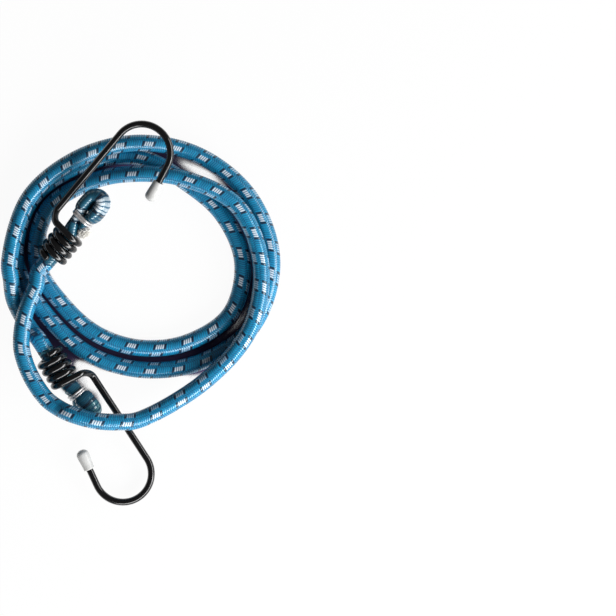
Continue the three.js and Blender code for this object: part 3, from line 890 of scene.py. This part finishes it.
def rounded_ends(along, radius, ease):
    """Radius that closes over a short distance at both ends, as a worn cut does."""
    near = np.minimum(along, along[-1] - along) / ease
    return radius * np.sqrt(1 - END_CLOSE * np.clip(1 - near, 0, 1) ** 2)


for letter in FITTINGS:
    rows, _, _ = hook_rows(FITTINGS[letter]["mouth"])
    wire_length = walked(rows)[-1]
    samples = at_distances(rows, np.linspace(0, wire_length, int(wire_length / WIRE_STEP)))
    line = samples[:, :3]
    radius = rounded_ends(walked(line), WIRE / 2, WIRE_END_EASE)
    grid = round_grid(line, frames(line, samples[:, 3:]), radius, WIRE_AROUND)
    hook = tube_piece(f"wire_hook_{letter}", [in_place(grid, letter)], coating)
    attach(hook, f"hook_{letter}")
    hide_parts(f"hook_{letter}")
print(f"each hook takes {wire_length:.0f} mm of wire")

# %% [markdown]
# ## Plastic tips
# A soft white cap is pushed over each wire end, so that the hook scratches nothing. It is a round profile
# carried along the wire's last stretch: a rolled rim at the mouth, a flare and a domed end.

# %% Tip finish
TIP_WHITE = (0.58, 0.58, 0.57, 1)
TIP_GREY = (0.44, 0.44, 0.43, 1)


def tip_finish():
    """White plastic with grey rubbed into it in patches, and a faint moulded texture."""
    material, tone, shader = new_finish("white_tip_plastic")
    place = tone.node("ShaderNodeTexCoord", output=3)
    rubbed = tone.node("ShaderNodeTexNoise", (), {"Vector": place, "Scale": 420.0, "Detail": 5.0})
    fine = tone.node("ShaderNodeTexNoise", (), {"Vector": place, "Scale": 4000.0, "Detail": 2.0})
    bump = tone.node("ShaderNodeBump", (), {"Strength": 0.1, "Distance": 0.05 * MM, "Height": fine})
    patches = tone.node("ShaderNodeMapRange", (), {0: rubbed, 1: 0.5, 2: 0.8, 4: 0.7})
    feed(tone, shader, {
        "Base Color": patches.mix(TIP_WHITE, TIP_GREY), "Roughness": 0.3 + 0.25 * rubbed,
        "Normal": bump})
    return material


white_plastic = tip_finish()
print("tip finish ready")

# %% Tips
TIP_RADIUS, TIP_MOUTH = 3.0, 2.55
TIP_AROUND = 32
RIM = 0.45
BORE_RADIUS = WIRE / 2 + CLEARANCE
LIP_DEPTH, DOME_HOLE = 2.0, 0.05
RIM_STEPS, BODY_STEPS, DOME_STEPS = 9, 14, 12


def tip_profile():
    """Distance from the mouth and radius: in from the bore, round the rim, along a flare, and over a
    dome that is a quarter of an ellipse."""
    rim = np.linspace(-np.pi / 2, np.pi / 2, RIM_STEPS)
    wall = (TIP_MOUTH - BORE_RADIUS) / 2
    lip = np.c_[RIM - RIM * np.cos(rim), BORE_RADIUS + wall + wall * np.sin(rim)]
    body = np.linspace(RIM, TIP_BORE, BODY_STEPS)[1:]
    flare = TIP_MOUTH + (TIP_RADIUS - TIP_MOUTH) * step(body, RIM, TIP_BORE)
    dome = np.linspace(0, np.pi / 2, DOME_STEPS)[1:-1]
    cap = np.c_[TIP_BORE + (TIP_LENGTH - TIP_BORE) * np.sin(dome), TIP_RADIUS * np.cos(dome)]
    return np.vstack([[LIP_DEPTH, BORE_RADIUS], lip, np.c_[body, flare], cap, [TIP_LENGTH, DOME_HOLE]])


for letter in FITTINGS:
    _, back, mouth = hook_rows(FITTINGS[letter]["mouth"])
    profile = tip_profile()
    line = mouth + profile[:, :1] * back
    axes = [np.tile(axis, (len(line), 1)) for axis in (back, np.cross([0, 0, 1], back), [0, 0, 1.0])]
    grid = round_grid(line, axes, profile[:, 1], TIP_AROUND)
    tip = tube_piece(f"plastic_tip_{letter}", [in_place(grid, letter)], white_plastic)
    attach(tip, f"hook_{letter}")
    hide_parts(f"tip_{letter}")

# %% [markdown]
# ## Wire rings
# A steel wire is wound twice round both legs of the fold and squeezed. Its outline is two straight runs
# and two half ellipses. The wire has a pale zinc skin with a fine grain, duller in small patches.

# %% Ring finish
STEEL = (0.80, 0.78, 0.78, 1)
STEEL_DULL = (0.62, 0.60, 0.60, 1)


def steel_finish():
    """Steel wire under a pale zinc skin: duller in small patches, with a fine grain as bump."""
    material, tone, shader = new_finish("ring_steel")
    place = tone.node("ShaderNodeTexCoord", output=3)
    patch = tone.node("ShaderNodeTexNoise", (), {"Vector": place, "Scale": 700.0, "Detail": 4.0})
    grain = tone.node("ShaderNodeTexNoise", (), {"Vector": place, "Scale": 6000.0, "Detail": 1.0})
    bump = tone.node("ShaderNodeBump", (), {"Strength": 0.08, "Distance": 0.03 * MM, "Height": grain})
    feed(tone, shader, {
        "Base Color": patch.mix(STEEL, STEEL_DULL), "Roughness": 0.26 + 0.2 * patch,
        "Metallic": 0.5, "Normal": bump})
    return material


steel = steel_finish()
print("steel finish ready")

# %% Rings
RING_WIRE = 1.1
RING_TURNS = 2
RING_GAP = 0.15
RING_PITCH = RING_WIRE + RING_GAP
RING_END_EASE = 0.3
RING_AROUND = 12
RING_STEPS = 160


def ring_line(ring, breadth, **_):
    """A rising line round an outline of two straight runs and two half ellipses. The way walked round
    the outline gives the place on it: along a run it moves sideways, on a half ellipse it turns."""
    bend = NECK / 2 + PLUMP + RING_WIRE / 2
    arc = np.pi * bend
    turn = np.linspace(0, RING_TURNS, RING_TURNS * RING_STEPS + 1)
    way = (turn % 1) * (4 * LEG_OFFSET + 2 * arc)
    left = np.clip((way - LEG_OFFSET) / arc, 0, 1) * np.pi
    right = np.clip((way - 3 * LEG_OFFSET - arc) / arc, 0, 1) * np.pi
    run = (-np.clip(way, 0, LEG_OFFSET) + np.clip(way - LEG_OFFSET - arc, 0, 2 * LEG_OFFSET)
           - np.clip(way - 3 * LEG_OFFSET - 2 * arc, 0, LEG_OFFSET))
    across = run - bend * np.sin(left) + bend * np.sin(right)
    height = -(breadth[0] * (NECK / 2 + PLUMP) + RING_WIRE / 2) * np.cos(left + right)
    return np.c_[ring + RING_PITCH * (turn - RING_TURNS / 2), across, height]


for letter, body in (("a", "end_a"), ("b", "cord")):
    line = ring_line(**FOLDS[letter])
    radius = rounded_ends(walked(line), RING_WIRE / 2, RING_END_EASE)
    grid = round_grid(line, frames(line, (1, 0, 0)), radius, RING_AROUND)
    ring = tube_piece(f"wire_ring_{letter}", [fold_in_place(grid, letter)], steel)
    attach(ring, body)
    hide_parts(f"ring_{letter}")
